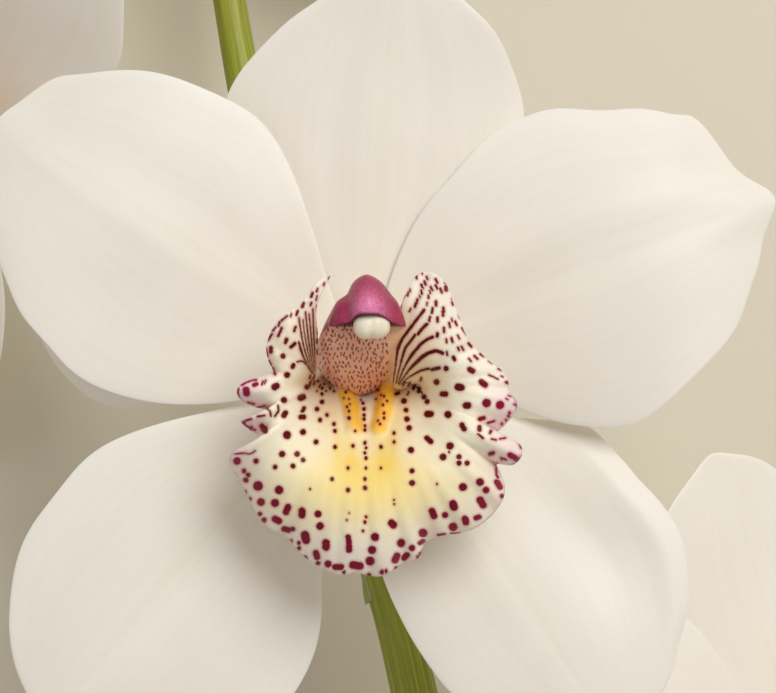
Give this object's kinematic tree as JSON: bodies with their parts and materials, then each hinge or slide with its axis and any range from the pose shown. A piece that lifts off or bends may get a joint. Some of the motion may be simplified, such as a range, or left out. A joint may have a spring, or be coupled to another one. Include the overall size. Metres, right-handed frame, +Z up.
{
  "type": "cut orchid stem",
  "caption": "Cut cymbidium orchid stem with open white blooms, spotted frilled lips and a few closed buds, lying on a surface; for a vase, bouquet or table.",
  "frame": {"origin": "on the surface that the stem lies on, in the middle of its footprint", "axes": "+Z up from the surface, +Y along the stem from its cut end to its tip, +X to the right"},
  "size_m": [0.1798, 0.5169, 0.1094],
  "materials": {
    "white_tepal": "matte, softly waxy creamy white",
    "spotted_lip": "matte, softly waxy cream with dark maroon spots and a yellow middle",
    "magenta_column": "satin magenta above, tan below with fine maroon dashes",
    "cream_anther": "satin cream",
    "green_stem": "satin olive green",
    "green_white_bud": "softly waxy greenish cream"
  },
  "bodies": {
    "root": {"bloom_1_dorsal_sepal": "white_tepal", "bloom_1_left_petal": "white_tepal", "bloom_1_right_petal": "white_tepal", "bloom_1_left_sepal": "white_tepal", "bloom_1_right_sepal": "white_tepal", "bloom_1_lip": "spotted_lip", "bloom_1_column": "magenta_column", "bloom_1_anther_cap": "cream_anther", "bloom_2_dorsal_sepal": "white_tepal", "bloom_2_left_petal": "white_tepal", "bloom_2_right_petal": "white_tepal", "bloom_2_left_sepal": "white_tepal", "bloom_2_right_sepal": "white_tepal", "bloom_2_lip": "spotted_lip", "bloom_2_column": "magenta_column", "bloom_2_anther_cap": "cream_anther", "bloom_3_dorsal_sepal": "white_tepal", "bloom_3_left_petal": "white_tepal", "bloom_3_right_petal": "white_tepal", "bloom_3_left_sepal": "white_tepal", "bloom_3_right_sepal": "white_tepal", "bloom_3_lip": "spotted_lip", "bloom_3_column": "magenta_column", "bloom_3_anther_cap": "cream_anther", "bloom_4_dorsal_sepal": "white_tepal", "bloom_4_left_petal": "white_tepal", "bloom_4_right_petal": "white_tepal", "bloom_4_left_sepal": "white_tepal", "bloom_4_right_sepal": "white_tepal", "bloom_4_lip": "spotted_lip", "bloom_4_column": "magenta_column", "bloom_4_anther_cap": "cream_anther", "bloom_5_dorsal_sepal": "white_tepal", "bloom_5_left_petal": "white_tepal", "bloom_5_right_petal": "white_tepal", "bloom_5_left_sepal": "white_tepal", "bloom_5_right_sepal": "white_tepal", "bloom_5_lip": "spotted_lip", "bloom_5_column": "magenta_column", "bloom_5_anther_cap": "cream_anther", "bud_1": "green_white_bud", "bud_2": "green_white_bud", "bud_3": "green_white_bud", "flower_stem": "green_stem"}
  },
  "joints": []
}
